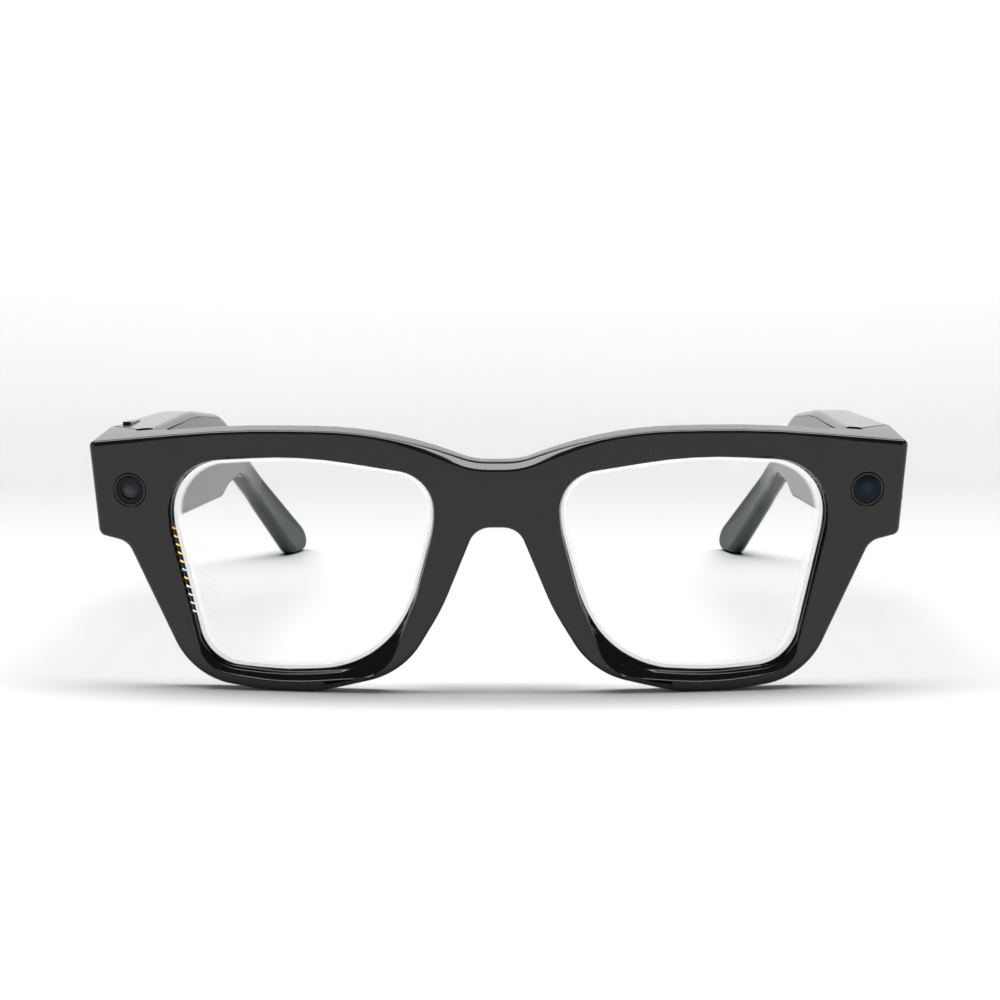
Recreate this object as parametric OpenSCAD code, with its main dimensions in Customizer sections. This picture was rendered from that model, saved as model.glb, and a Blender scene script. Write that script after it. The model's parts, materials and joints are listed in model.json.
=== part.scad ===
/* [Front] */
// Radius of the wrap of the front, seen from above
wrap_r = 340; // [300:10:400]
// Forward lean of the front, in degrees
lean = 3; // [2:0.5:4]
// Thickness of the rims at their foot
rim_t = 4.2; // [3.8:0.1:4.8]
// How much less the back of the front leans than its face, in degrees
back_lean = 2; // [1:0.5:2.5]
// Depth of the lens seat behind the face
seat_depth = 2.05; // [1.8:0.05:2.3]

/* [Lenses] */
// Thickness of each clear lens
lens_t = 1.25; // [1:0.05:1.3]
// Thickness of the display waveguide
guide_t = 0.85; // [0.6:0.05:0.85]
// How far a lens reaches into its groove
groove_reach = 0.55; // [0.4:0.05:0.7]

/* [Windows] */
// Radius of the camera and capture light bezels
bezel_r = 3.1; // [2.9:0.05:3.15]
// Distance of the windows from the middle of the front
eye_x = 68.65; // [68:0.05:69]
// Height of the windows along the front
eye_z = 37.64; // [37:0.1:38.5]

/* [Hinges] */
// Distance of the hinge axes from the middle
hinge_x = 65.7; // [65.5:0.1:65.9]
// Distance of the hinge axes behind the bridge
hinge_y = 18.2; // [18:0.1:18.4]
// Radius of the knuckles
knuckle_r = 1.9; // [1.7:0.05:1.95]
// Radius of the hinge screws
screw_r = 0.7; // [0.6:0.05:0.8]
// Clearance round the hinge screws
screw_gap = 0.04; // [0.02:0.01:0.08]

/* [Temples] */
// Gap between an end piece and its temple
seam = 0.35; // [0.3:0.05:0.5]
// Wall of the temple shells
wall = 1.4; // [1.2:0.1:1.6]
// Thickness of the inner covers
cover_t = 1.1; // [0.9:0.1:1.2]

/* [Hidden] */
$fn = 48;

black = "#141414";
overall_l = 158.6;
face_y = 3;
lift = -0.1;
right = -1;
left = 1;

// Corners of the right half of the front's outline: across, up the face, and corner radius
outline = [
    [4.2, 43.8, 14], [20.2, 49.7, 73], [49.1, 49.7, 180], [76.3, 46.45, 0.6],
    [74.85, 28.75, 1.5], [69.4, 27.6, 3.5], [57.6, 2, 14], [44, 0, 40], [33.5, 0, 20],
    [17.6, 3.9, 16], [10.2, 16.3, 40], [3.95, 31.75, 4.2],
];
// Corners of a lens opening where it meets the face
opening_face = [
    [36.2, 45.1, 80], [61.9, 43.1, 10.5], [61.3, 31, 18], [55, 3.6, 6.5], [40.5, 1.5, 60],
    [21, 3.3, 9], [15.3, 17.2, 40], [11.6, 31.5, 24], [11.4, 41.4, 7.5],
];
// Corners of a lens opening where it meets the lens
opening_lens = [
    [36.2, 44.8, 80], [60.9, 42.8, 10], [60.4, 31, 18], [54.6, 4.9, 8.5], [40.5, 3.75, 60],
    [23, 4.9, 19], [15.7, 17, 28], [11.85, 31.5, 20], [11.65, 41.1, 7.5],
];
// Centre line of the brow channel: across, up the face
brow_line = [
    [-57, 46.4], [-48, 47.1], [-36, 47.3], [-24, 46], [-15, 43.5], [-7, 40.6], [0, 39.6],
    [7, 40.6], [15, 43.5], [24, 46], [36, 47.3], [48, 47.1], [57, 46.4],
];
// Side view of a temple: back from the bridge, height, corner radius
temple_side = [
    [14, 48.2, 0.5], [62, 46, 120], [95, 41, 60], [130, 25, 60], [157.4, 5.6, 7],
    [159.4, 0, 2.4], [152.4, 0, 3], [132, 16.6, 60], [117, 25, 14], [100, 24.8, 6],
    [92, 23.3, 4], [14, 29.3, 0.5],
];
// Distance of a temple's inner and outer faces from the middle, by depth
inner_face = [
    [14, 65.25], [26, 65.2], [118, 60], [128, 58.9], [140, 56], [150, 52.6], [160, 48.6],
];
outer_face = [
    [14, 75.8], [22, 75.4], [28, 74.6], [45, 73.5], [80, 70.6], [105, 66.4], [118, 64.2], [128, 62.9],
    [140, 60.1], [150, 56.9], [160, 53.1],
];
temple_depths = [for (p = concat(inner_face, [[27, 0], [45, 0], [80, 0], [105, 0]])) p[0]];
// Line of the seam between end piece and temple
seam_in = [68.6, 17.6];
seam_out = [74.9, 26.2];
seam_n = [-0.807, 0.591];

// A corner's offset direction, and the arc that rounds it
function unit(v) = v / norm(v);
function perp(v) = [v[1], -v[0]];
function xz(p) = [p[0], p[1]];
function prev(c, i) = xz(c[(i + len(c) - 1) % len(c)]);
function next(c, i) = xz(c[(i + 1) % len(c)]);
function turn(u, v) = atan2(u[0] * v[1] - u[1] * v[0], u * v);
function fillet(a, b, c, r, facet) =
    let (u = unit(b - a), v = unit(c - b), t = turn(u, v), s = sign(t))
    let (d = r * tan(abs(t) / 2), steps = max(1, ceil(abs(t) / facet)))
    let (m = b - u * d - s * perp(u) * r, from = atan2(u[1], u[0]) - 90 * s)
    [for (k = [0:steps]) m + r * [cos(from + t * k / steps), sin(from + t * k / steps)]];
function rounded(c, facet = 6) =
    [for (i = [0:len(c) - 1]) each fillet(prev(c, i), xz(c[i]), next(c, i), c[i][2], facet)];
// Corners moved out by d, for an outline that runs clockwise
function grown(c, d) = [for (i = [0:len(c) - 1])
    let (u = unit(xz(c[i]) - prev(c, i)), v = unit(next(c, i) - xz(c[i])))
    let (m = -perp(u) - perp(v), p = xz(c[i]) + m * d / (1 + perp(u) * perp(v)))
    [p[0], p[1], max(c[i][2] + d * sign(-turn(u, v)), 0.1)]];
function mirrored(c) = [for (i = [len(c) - 1:-1:0]) [-c[i][0], c[i][1], c[i][2]]];
// A strip of width w along a line of points
function strip(p, w) = let (n = len(p) - 1)
    let (t = [for (i = [0:n]) unit(p[min(i + 1, n)] - p[max(i - 1, 0)])])
    concat([for (i = [0:n]) p[i] + [-t[i][1], t[i][0]] * w / 2],
           [for (i = [n:-1:0]) p[i] - [-t[i][1], t[i][0]] * w / 2]);

module in_row() translate([0, -overall_l / 2, 0]) children();
module on_side(s) if (s == left) children(); else mirror([1, 0, 0]) children();
// The front's own frame: x across, y into the front, z up its face
module leaned() translate([0, face_y, lift]) rotate([lean, 0, 0]) children();
// Draws an x-z outline, from depth a to depth b
module across(a, b) translate([0, b, 0]) rotate([90, 0, 0]) linear_extrude(b - a) children();
module slab(x, y, z) translate([x[0], y[0], z[0]]) cube([x[1] - x[0], y[1] - y[0], z[1] - z[0]]);
// Everything behind the wrapped surface that lies at depth d below the face
module behind(d) translate([0, wrap_r, -30]) cylinder(r = wrap_r - d, h = 110, $fn = 360);
module back_solid(d) rotate([-back_lean, 0, 0]) behind(rim_t + d);
// The part of the front's thickness from depth a to depth b below the face
module layer(a, b) difference() { behind(a); behind(b); }

// ---- Front ----
module brow_band(w) polygon(strip(brow_line, w));
// A lens opening lies square to the chord of its stretch of the wrap
opening_mid = 36.3;
chord_turn = asin(opening_mid / wrap_r);
module lens_shape(s) on_side(s) translate([opening_mid + 0.2, 2, 0]) rotate([0, 0, chord_turn])
    translate([-opening_mid, 0, 0]) children();
function on_chord(c) =
    [for (p = c) [opening_mid + (p[0] - opening_mid) / cos(chord_turn), p[1], p[2]]];
bevel_facet = 18;
bevel_start = 0.35;
module opening(s) lens_shape(s) {
    across(-6, 30) polygon(rounded(on_chord(opening_lens)));
    hull() {
        across(-4, bevel_start) polygon(rounded(on_chord(opening_face), bevel_facet));
        across(seat_depth + 0.4, seat_depth + 0.5)
            polygon(rounded(grown(on_chord(opening_lens), -0.2), bevel_facet));
    }
}
module lens_plate(s, grow, a, b) intersection() {
    lens_shape(s) across(-3, 14) polygon(rounded(grown(on_chord(opening_lens), grow)));
    layer(a, b);
}
// The place of a window: z points out of the face
module eye(s) on_side(s) translate([eye_x, wrap_r - sqrt(pow(wrap_r, 2) - pow(eye_x, 2)), eye_z])
    rotate([0, 0, asin(eye_x / wrap_r)]) rotate([90, 0, 0]) children();
module ring(r, hole, a, b) translate([0, 0, a]) difference() {
    cylinder(r = r, h = b - a);
    translate([0, 0, -1]) cylinder(r = hole, h = b - a + 2);
}
module disc(r, a, b) translate([0, 0, a]) cylinder(r = r, h = b - a);
module plan(points, a, b) translate([0, 0, a]) linear_extrude(b - a) polygon(points);

module end_block() plan([[62, 7.6], [76.3, 10], [75.5, 22], [74.7, 30], [62, 30]], -2, 60);
module hinge_room() plan([
    [30, 90], [30, 13.6], [63.6, 13.6], [64.6, 14.8], [68, 15.6], seam_in, seam_out,
    seam_out + 9 * unit(seam_out - seam_in), [90, 90]], 0, 70);
module leaf_seat(g) slab([60.2 - g, 65.05 + g], [11.1 - g, 20], [31.6 - g, 43.6 + g]);
leaf_screw_x = 62.4;
leaf_screw_z = [34, 41];
module mic_box(g) slab([-1.6 - g, 1.6 + g], [3.7 - g, 4.8], [38.5 - g, 40.7 + g]);
module badge_plate(g, a, b) translate([75, 18.2, 37.2]) rotate([0, -6, 1]) rotate([0, 90, 0])
    rotate([0, 0, 90]) translate([0, 0, a]) linear_extrude(b - a) {
        square([7.6 + 2 * g, 4.6 + 2 * g], center = true);
        for (x = [-3.8, 3.8]) translate([x, 0]) circle(2.3 + g);
    }

module front_frame() color(black) in_row() difference() {
    leaned() difference() {
        intersection() {
            across(-5, 40) polygon(rounded(concat(outline, mirrored(outline))));
            union() {
                difference() {
                    behind(0);
                    back_solid(0);
                }
                for (s = [right, left]) on_side(s) end_block();
            }
        }
        for (s = [right, left]) {
            opening(s);
            lens_plate(s, groove_reach + 0.05, seat_depth, seat_depth + 2.25);
            eye(s) {
                disc(bezel_r + 0.05, -1.9, 3);
                disc(2.75, -5.6, 0);
            }
        }
        intersection() {
            across(2, 14) brow_band(2.2);
            layer(2.7, 9);
        }
        intersection() {
            across(2, 14) brow_band(3.3);
            back_solid(-0.95);
        }
        for (x = [-2.6, 0, 2.6]) translate([x, 4.2, 34.6]) rotate([-90, 0, 0])
            cylinder(r = 0.95, h = 4);
        projector_box(0.1);
        translate([-61.8, 9, 45.2]) rotate([-90, 0, 0]) cylinder(r = 0.65, h = 10);
    }
    for (s = [right, left]) on_side(s) {
        hinge_room();
        leaf_seat(0.05);
        badge_plate(0.03, -0.6, 2);
        for (z = leaf_screw_z) translate([leaf_screw_x, 7, z]) rotate([-90, 0, 0])
            cylinder(r = 0.55, h = 5);
    }
}
module projector_box(g) slab([-71.2 - g, -66.4 + g], [9.2 - g, 12.6 + g], [29.9 - g, 33.4 + g]);
module brow_cover() color("#1b1b1b") in_row() leaned() intersection() {
    across(2, 14) brow_band(3.2);
    difference() {
        back_solid(-0.9);
        back_solid(0);
    }
}
module brow_flex() color("#b5722b") in_row() leaned() intersection() {
    across(2, 14) brow_band(2);
    layer(2.8, 3.05);
}
module bridge_microphone() color("silver") in_row() leaned()
    slab([-1.5, 1.5], [3.2, 4.2], [38.7, 40.5]);
module charging_contacts() color("gold") in_row() leaned()
    for (x = [-2.6, 0, 2.6]) translate([x, 4.3, 34.6]) rotate([-90, 0, 0])
        cylinder(r = 0.9, h = 1.25);
module nose_pad(s) color("#1a1a1a") in_row() leaned() on_side(s) difference() {
    hull() {
        translate([9.4, 7, 26.4]) sphere(2.1, $fn = 28);
        translate([11.4, 9.6, 23]) sphere(2.3, $fn = 28);
        translate([14.4, 9.9, 15.6]) sphere(2.3, $fn = 28);
        translate([15, 6.6, 13.4]) sphere(2, $fn = 28);
    }
    difference() {
        translate([0, 0, -5]) slab([0, 40], [-5, 30], [0, 60]);
        back_solid(0.03);
    }
}
module nose_pad_right() nose_pad(right);
module nose_pad_left() nose_pad(left);
module badge(s) color("#2b2b2b") in_row() on_side(s) badge_plate(0, -0.55, 0.5);
module badge_right() badge(right);
module badge_left() badge(left);

// ---- Lenses and display ----
module lens(s) color([0.85, 0.9, 0.9, 0.3]) in_row() leaned()
    lens_plate(s, groove_reach, seat_depth + 0.05, seat_depth + 0.05 + lens_t);
module lens_right() lens(right);
module lens_left() lens(left);
// Eleven slanted reflectors, set into the back of the guide at its outer edge
module reflectors(g, a, b) for (i = [0:10]) let (x = -59.6 + 0.3 * i)
    translate([0, wrap_r, 27.9 - 1.44 * i]) rotate([0, 0, asin(x / wrap_r)])
        translate([0, -wrap_r, 0]) rotate([0, 22, 0])
            slab([-g, 5 + g], [a, b], [-0.09 - g, 0.09 + g]);
guide_at = seat_depth + lens_t + 0.1;
module display_waveguide() color([0.8, 0.9, 0.88, 0.3]) in_row() leaned() difference() {
    lens_plate(right, groove_reach, guide_at, guide_at + guide_t);
    reflectors(0.02, guide_at + 0.2, guide_at + 3);
}
module waveguide_mirrors() color("gold") in_row() leaned()
    reflectors(0, guide_at + 0.22, guide_at + guide_t - 0.06);
module display_projector() color("#3a3f48") in_row() leaned() projector_box(0);

// ---- Camera and capture light ----
module bezel(s) color("#0c0c0c") in_row() leaned() eye(s) ring(bezel_r, 2.68, -1.85, -0.08);
module light_bezel() bezel(right);
module camera_bezel() bezel(left);
module light_window() color("#1d1c20") in_row() leaned() eye(right) ring(2.62, 1.75, -1.1, -0.16);
module light_lens() color("#8b8890") in_row() leaned() eye(right) {
    disc(1.68, -1.1, -0.4);
    intersection() {
        translate([0, 0, -2]) sphere(r = 2.1);
        disc(1.3, -0.45, 0.5);
    }
}
module light_board() color("#1f5b3a") in_row() leaned() eye(right) {
    disc(2.4, -2.9, -2.3);
    translate([-0.8, -0.8, -2.35]) cube([1.6, 1.6, 0.8]);
}
module camera_window() color("#141a22") in_row() leaned() eye(left) disc(2.62, -1, -0.16);
module camera_barrel() color("#191919") in_row() leaned() eye(left) difference() {
    union() {
        disc(2.35, -4.2, -2.4);
        disc(1.9, -2.45, -1.15);
    }
    disc(1.3, -3.7, -1);
    disc(0.8, -5, 0);
}
module camera_lens() color("#33506b") in_row() leaned() eye(left) intersection() {
    translate([0, 0, -3.9]) sphere(r = 2.4);
    disc(1.2, -2.6, -1.2);
}
module camera_sensor() color("#20543a") in_row() leaned() eye(left) {
    translate([-1.7, -1.7, -4.8]) cube([3.4, 3.4, 0.55]);
    translate([-1.85, -1.85, -5.3]) cube([3.7, 3.7, 0.55]);
}
module notification_light() color("#dfe8dc") in_row() leaned() translate([-61.8, 9.1, 45.2])
    rotate([-90, 0, 0]) cylinder(r = 0.6, h = 1.9);

// ---- Hinges ----
knuckle_z = 31.8;
knuckle_h = 2.24;
knuckle_gap = 0.12;
module at_hinge() translate([hinge_x, hinge_y, 0]) children();
module knuckles(which) for (i = which) translate([0, 0, knuckle_z + i * (knuckle_h + knuckle_gap)])
    cylinder(r = knuckle_r, h = knuckle_h);
module screw_bore() translate([0, 0, 20]) cylinder(r = screw_r + screw_gap, h = 40);
hinge_top = knuckle_z + 5 * knuckle_h + 4 * knuckle_gap;
module front_leaf(s) color("#9a9a98") in_row() on_side(s) difference() {
    union() {
        slab([60.3, 64.9], [11.2, 12.4], [31.7, 43.5]);
        at_hinge() for (i = [0, 2, 4]) knuckles([i]);
        for (i = [0, 2, 4]) translate([0, 0, knuckle_z + i * (knuckle_h + knuckle_gap)])
            slab([hinge_x - knuckle_r, hinge_x - knuckle_r + 1.2], [12.3, hinge_y], [0, knuckle_h]);
    }
    at_hinge() screw_bore();
    for (z = leaf_screw_z) translate([leaf_screw_x, 8, z]) rotate([-90, 0, 0]) {
        cylinder(r = 0.5, h = 6);
        translate([0, 0, 3.9]) cylinder(r = 0.95, h = 3);
    }
}
module front_leaf_right() front_leaf(right);
module front_leaf_left() front_leaf(left);
module front_leaf_screws() color("silver") in_row() for (s = [right, left]) on_side(s)
    for (z = leaf_screw_z) translate([leaf_screw_x, 0, z]) rotate([-90, 0, 0]) {
        translate([0, 0, 7.2]) cylinder(r = 0.45, h = 4.75);
        translate([0, 0, 11.93]) cylinder(r = 0.9, h = 0.42);
    }
module hinge_screws() color("silver") in_row() for (s = [right, left]) on_side(s) at_hinge() {
    translate([0, 0, knuckle_z + 0.3]) cylinder(r = screw_r, h = hinge_top - knuckle_z - 0.2);
    difference() {
        translate([0, 0, hinge_top + 0.04]) cylinder(r = 1.35, h = 0.5);
        translate([-2, -0.15, hinge_top + 0.3]) cube([4, 0.3, 1]);
    }
}
leaf_x = [hinge_x + 0.5, hinge_x + 1.7];
module temple_leaf_slot(g) slab([leaf_x[0] - g, leaf_x[1] + g], [20, 28.6 + g], [31.4 - g, 43.6 + g]);
module temple_leaf(s) color("#9a9a98") in_row() on_side(s) difference() {
    union() {
        slab(leaf_x, [20.55, 28.6], [31.8, 43.2]);
        for (i = [1, 3]) {
            at_hinge() knuckles([i]);
            translate([0, 0, knuckle_z + i * (knuckle_h + knuckle_gap)])
                slab(leaf_x, [hinge_y, 20.6], [0, knuckle_h]);
        }
    }
    at_hinge() screw_bore();
    for (z = [35, 40]) translate([60, 25.5, z]) rotate([0, 90, 0]) cylinder(r = 0.5, h = 12);
}
module temple_leaf_right() temple_leaf(right);
module temple_leaf_left() temple_leaf(left);
module temple_leaf_screws(s) color("silver") in_row() on_side(s) for (z = [35, 40])
    translate([65.35, 25.5, z]) rotate([0, 90, 0]) {
        cylinder(r = 0.85, h = 0.8);
        cylinder(r = 0.45, h = 4.4);
    }
module temple_leaf_screws_right() temple_leaf_screws(right);
module temple_leaf_screws_left() temple_leaf_screws(left);

// ---- Temples ----
// The plan of a temple between its faces, moved in by a and b
module face_plan(a, b, y0, y1) let (d = quicksort([for (y = temple_depths) if (y > y0 && y < y1) y]))
    let (ys = concat([y0], d, [y1]), n = len(ys) - 1)
    polygon(concat([for (i = [0:n]) [lookup(ys[i], inner_face) + a, ys[i]]],
                   [for (i = [n:-1:0]) [lookup(ys[i], outer_face) - b, ys[i]]]));
function quicksort(v) = len(v) < 1 ? [] : let (p = v[0]) concat(
    quicksort([for (x = v) if (x < p) x]), [p], quicksort([for (x = v) if (x > p) x]));
module sideways(points) translate([40, 0, 0]) rotate([90, 0, 90]) linear_extrude(45) polygon(points);
module temple_block() intersection() {
    sideways(rounded(temple_side));
    linear_extrude(70) face_plan(0, 0, 14, 159.9);
}
module temple_front_cut() plan([
    [60, 0], [60, 20.5], [65.2, 20.5], [66.9, 20.4], [68.1, 19.3],
    seam_in + seam * seam_n, seam_out + seam * seam_n + 9 * unit(seam_out - seam_in), [95, 0]], 0, 70);
// A temple's own frame: origin behind the seam on the inner face, y back along it
module along_temple() translate([65.3, 26, 38]) rotate([-4.6, 0, 3.4]) children();
housing = [[30.5, 44.8, 1], [62, 43.6, 100], [89, 40, 1.5], [89, 26.3, 1.5], [30.5, 30.6, 1]];
cover_edge = [[30, 45.9, 1], [62, 44.7, 100], [90.2, 40.9, 1.5], [90.2, 25, 1.5], [30, 29.6, 1]];
module button_hole(g) along_temple() translate([6.9, 5.4, 6]) linear_extrude(8) {
    square([1.7 + 2 * g, 7.6 + 2 * g], center = true);
    for (y = [-3.8, 3.8]) translate([0, y]) circle(0.85 + g);
}
module grille_seat(g, a, b) along_temple() slab([2.3 - g, 6 + g], [51.5 - g, 61.5 + g], [-11 + a, -11 + b]);
module switch_slot(g) along_temple() slab([-2, 3.4], [8 - g, 12.6 + g], [1.4 - g, 3.6 + g]);
module microphone_port() along_temple() translate([4.3, 20, -13]) cylinder(r = 0.5, h = 6.4);
module temple_shell(s) color(black) in_row() on_side(s) difference() {
    temple_block();
    temple_front_cut();
    intersection() {
        sideways(rounded(housing));
        linear_extrude(70) face_plan(-1, wall, 29, 92);
    }
    intersection() {
        sideways(rounded(grown(cover_edge, 0.06)));
        linear_extrude(70) face_plan(-1, 0, 28, 93);
        linear_extrude(70) polygon(concat(
            [for (y = [28, 93]) [lookup(y, inner_face) + cover_t + 0.06, y]], [[50, 93], [50, 28]]));
    }
    temple_leaf_slot(0.05);
    for (z = [35, 40]) translate([60, 25.5, z]) rotate([0, 90, 0]) cylinder(r = 0.95, h = 6.2);
    for (z = [35, 40]) translate([60, 25.5, z]) rotate([0, 90, 0]) cylinder(r = 0.5, h = 10.2);
    grille_seat(0.05, -1, 3);
    microphone_port();
    if (s == right) button_hole(0.15);
}
module temple_shell_right() temple_shell(right);
module temple_shell_left() temple_shell(left);
module temple_cover(s) color("#181818") in_row() on_side(s) difference() {
    intersection() {
        sideways(rounded(cover_edge));
        linear_extrude(70) polygon(concat(
            [for (y = [29, 92]) [lookup(y, inner_face) + cover_t, y]],
            [for (y = [92, 29]) [lookup(y, inner_face), y]]));
    }
    if (s == left) switch_slot(0.12);
}
module temple_cover_right() temple_cover(right);
module temple_cover_left() temple_cover(left);

// ---- Inside the temples ----
module in_temple(s) in_row() on_side(s) along_temple() children();
module speaker(s) color("#303030") in_temple(s) slab([2.2, 5.8], [51.6, 61], [-6.2, -2.4]);
module speaker_right() speaker(right);
module speaker_left() speaker(left);
module speaker_grille(s) color("#444444") in_row() on_side(s) difference() {
    grille_seat(0, 1.9, 2.3);
    along_temple() for (y = [53:1.5:60.5]) translate([2.9, y, -12]) cube([2.5, 0.6, 5]);
}
module speaker_grille_right() speaker_grille(right);
module speaker_grille_left() speaker_grille(left);
module battery_right() color("#8b8f96") in_temple(right) slab([1.8, 5.4], [46, 62.2], [-1.6, 6.4]);
module battery_left() color("#8b8f96") in_temple(left) slab([1.8, 5.8], [24.5, 49.5], [-6.6, 6.2]);
module main_board() color("#174a2e") in_temple(right) slab([1.8, 2.5], [17, 44.5], [-6.4, 5.6]);
module board_shield() color("#b9bcc0") in_temple(right) {
    slab([2.55, 4], [19, 29], [-5, 4]);
    slab([2.55, 3.7], [31, 42], [-4.5, 4.5]);
}
module power_board() color("#174a2e") in_temple(left) slab([4.1, 4.8], [6.6, 23], [-5.5, 5.6]);
module touch_sensor() color("#c98a3a") in_temple(right) slab([6.3, 6.5], [20, 44], [-5.8, 5.4]);
module antenna() color("#c98a3a") in_temple(left) slab([5.6, 5.8], [51, 62.2], [-1.6, 5.8]);
module temple_microphone(s) color("#c4c4c0") in_temple(s) slab([2.9, 5.5], [18.2, 21.8], [-6.6, -5.7]);
module temple_microphone_right() temple_microphone(right);
module temple_microphone_left() temple_microphone(left);
module capture_button() color("#101010") in_row() on_side(right) intersection() {
    button_hole(0);
    along_temple() slab([0, 9], [0, 20], [7.2, 10.2]);
}
module button_switch() color("#c8c8c8") in_temple(right) {
    slab([5, 7.7], [5.2, 8.4], [5.2, 6]);
    translate([6.9, 6.8, 5.9]) cylinder(r = 0.7, h = 0.5);
}
module power_switch() color("#202020") in_temple(left) slab([-0.35, 1.6], [8.4, 10.4], [1.5, 3.5]);
module switch_base() color("#c8c8c8") in_temple(left) slab([1.8, 3.9], [7, 13.6], [0.6, 4.4]);

front_frame();
brow_cover();
brow_flex();
bridge_microphone();
charging_contacts();
lens_right();
lens_left();
display_waveguide();
waveguide_mirrors();
display_projector();
light_bezel();
light_window();
light_lens();
light_board();
camera_bezel();
camera_window();
camera_barrel();
camera_lens();
camera_sensor();
notification_light();
nose_pad_right();
nose_pad_left();
badge_right();
badge_left();
front_leaf_right();
front_leaf_left();
front_leaf_screws();
hinge_screws();
temple_leaf_right();
temple_leaf_left();
temple_leaf_screws_right();
temple_leaf_screws_left();
temple_shell_right();
temple_shell_left();
temple_cover_right();
temple_cover_left();
speaker_right();
speaker_left();
speaker_grille_right();
speaker_grille_left();
battery_right();
battery_left();
main_board();
board_shield();
power_board();
touch_sensor();
antenna();
temple_microphone_right();
temple_microphone_left();
capture_button();
button_switch();
power_switch();
switch_base();
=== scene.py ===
"""Smart glasses with a display in one lens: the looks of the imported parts.

Shapes are worked out in millimetres, in the design's own places: x across, y back from the
bridge and z up from the table. in_row() turns them into the row's metres.
"""

import json
import math

import bmesh
import bpy
from mathutils import Matrix, Vector


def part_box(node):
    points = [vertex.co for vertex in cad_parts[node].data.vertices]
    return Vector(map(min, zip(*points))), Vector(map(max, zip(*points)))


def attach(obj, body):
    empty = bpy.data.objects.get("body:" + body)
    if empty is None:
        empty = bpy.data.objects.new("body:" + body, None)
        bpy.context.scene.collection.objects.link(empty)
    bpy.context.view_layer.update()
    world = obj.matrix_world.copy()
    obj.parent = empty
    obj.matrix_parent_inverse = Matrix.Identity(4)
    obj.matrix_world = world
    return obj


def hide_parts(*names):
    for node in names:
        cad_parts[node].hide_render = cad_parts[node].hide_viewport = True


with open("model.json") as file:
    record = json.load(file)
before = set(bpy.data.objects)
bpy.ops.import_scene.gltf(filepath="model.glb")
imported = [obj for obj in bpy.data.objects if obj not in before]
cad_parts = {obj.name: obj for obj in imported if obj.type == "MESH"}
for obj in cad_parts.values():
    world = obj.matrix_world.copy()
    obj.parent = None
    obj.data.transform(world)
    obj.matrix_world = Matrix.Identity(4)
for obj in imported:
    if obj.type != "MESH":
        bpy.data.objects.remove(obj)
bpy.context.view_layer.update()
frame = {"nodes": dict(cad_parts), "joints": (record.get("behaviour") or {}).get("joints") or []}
nodes = frame["nodes"]
joints = {joint["name"]: joint for joint in frame["joints"]}

MM = 0.001
RIGHT, LEFT = -1, 1
SIDES = {"right": RIGHT, "left": LEFT}

# The front: how it is wrapped and leaned, as in the part
WRAP_R = 340
LEAN = math.radians(3)
BACK_LEAN = math.radians(2)
RIM_T = 4.2
FACE_Y = 3
LIFT = -0.1
HINGE_Y = 18.2
SEAT_DEPTH = 2.05
SEAM = 0.35
BRIDGE_Y = joints["temple_left_hinge"]["pos_m"][1] - HINGE_Y * MM

# Corners of half the front's outline: across, up the face, and corner radius
OUTLINE = [
    (4.2, 43.8, 14), (20.2, 49.7, 73), (49.1, 49.7, 180), (76.3, 46.45, 1.1), (74.85, 28.75, 1.5),
    (69.4, 27.6, 3.5), (57.6, 2, 14), (44, 0, 40), (33.5, 0, 20), (17.6, 3.9, 16),
    (10.2, 16.3, 40), (3.95, 31.75, 4.2),
]
# Corners of a lens opening, at the face and at the lens
OPENING_FACE = [
    (36.2, 45.1, 80), (61.9, 43.1, 10.5), (61.3, 31, 18), (55, 3.6, 6.5), (40.5, 1.5, 60),
    (21, 3.3, 9), (15.3, 17.2, 40), (11.6, 31.5, 24), (11.4, 41.4, 7.5),
]
OPENING_LENS = [
    (36.2, 44.8, 80), (60.9, 42.8, 10), (60.4, 31, 18), (54.6, 4.9, 8.5), (40.5, 3.75, 60),
    (23, 4.9, 19), (15.7, 17, 28), (11.85, 31.5, 20), (11.65, 41.1, 7.5),
]
# Side view of a temple, and its inner and outer faces seen from above
TEMPLE_SIDE = [
    (14, 48.2, 3.3), (62, 46, 120), (95, 41, 60), (130, 25, 60), (157.4, 5.6, 7),
    (159.4, 0, 2.4), (152.4, 0, 3), (132, 16.6, 60), (117, 25, 14), (100, 24.8, 6),
    (92, 23.3, 4), (14, 29.3, 2.2),
]
INNER_FACE = [
    (14, 65.25), (26, 65.2), (118, 60), (128, 58.9), (140, 56), (150, 52.6), (160, 48.6),
]
OUTER_FACE = [
    (14, 75.8), (22, 75.4), (28, 74.6), (45, 73.5), (80, 70.6), (105, 66.4), (118, 64.2), (128, 62.9),
    (140, 60.1), (150, 56.9), (160, 53.1),
]
HOUSING = [(30.5, 44.8, 1), (62, 43.6, 100), (89, 40, 1.5), (89, 26.3, 1.5), (30.5, 30.6, 1)]
WALL = 1.4
SEAM_IN, SEAM_OUT = Vector((68.6, 17.6)), Vector((74.9, 26.2))

# The face's edges: rounding, the brow's rounding, and the bridge's chamfer
EDGE_R, TOP_R, CHAMFER, CHAMFER_DEPTH = 0.85, 0.55, 1.25, 1.3
SUPPORT = 0.2
EDGE_STEPS = 5
FRONT_DEPTH = 30
SLICE = 2.5
# From the face in to the lens: how deep, and how far across, as shares
BEVEL = [(0, 0), (0.37, 0.5), (0.8, 0.79), (1, 1)]
BEVEL_STEPS = 10
LIP_R = 0.18
# The end pieces narrow beyond this place, over this run, and from this far back
END_X, END_RUN, END_Z, END_RISE = 62, 14, 31, 15
TAPER, TAPER_FROM = 0.08, 10
# The round wells at the ends of the face
EYE_X, EYE_Z = 68.65, 37.64
WELL_R, WELL_DEPTH = 3.16, 2.3
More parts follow.
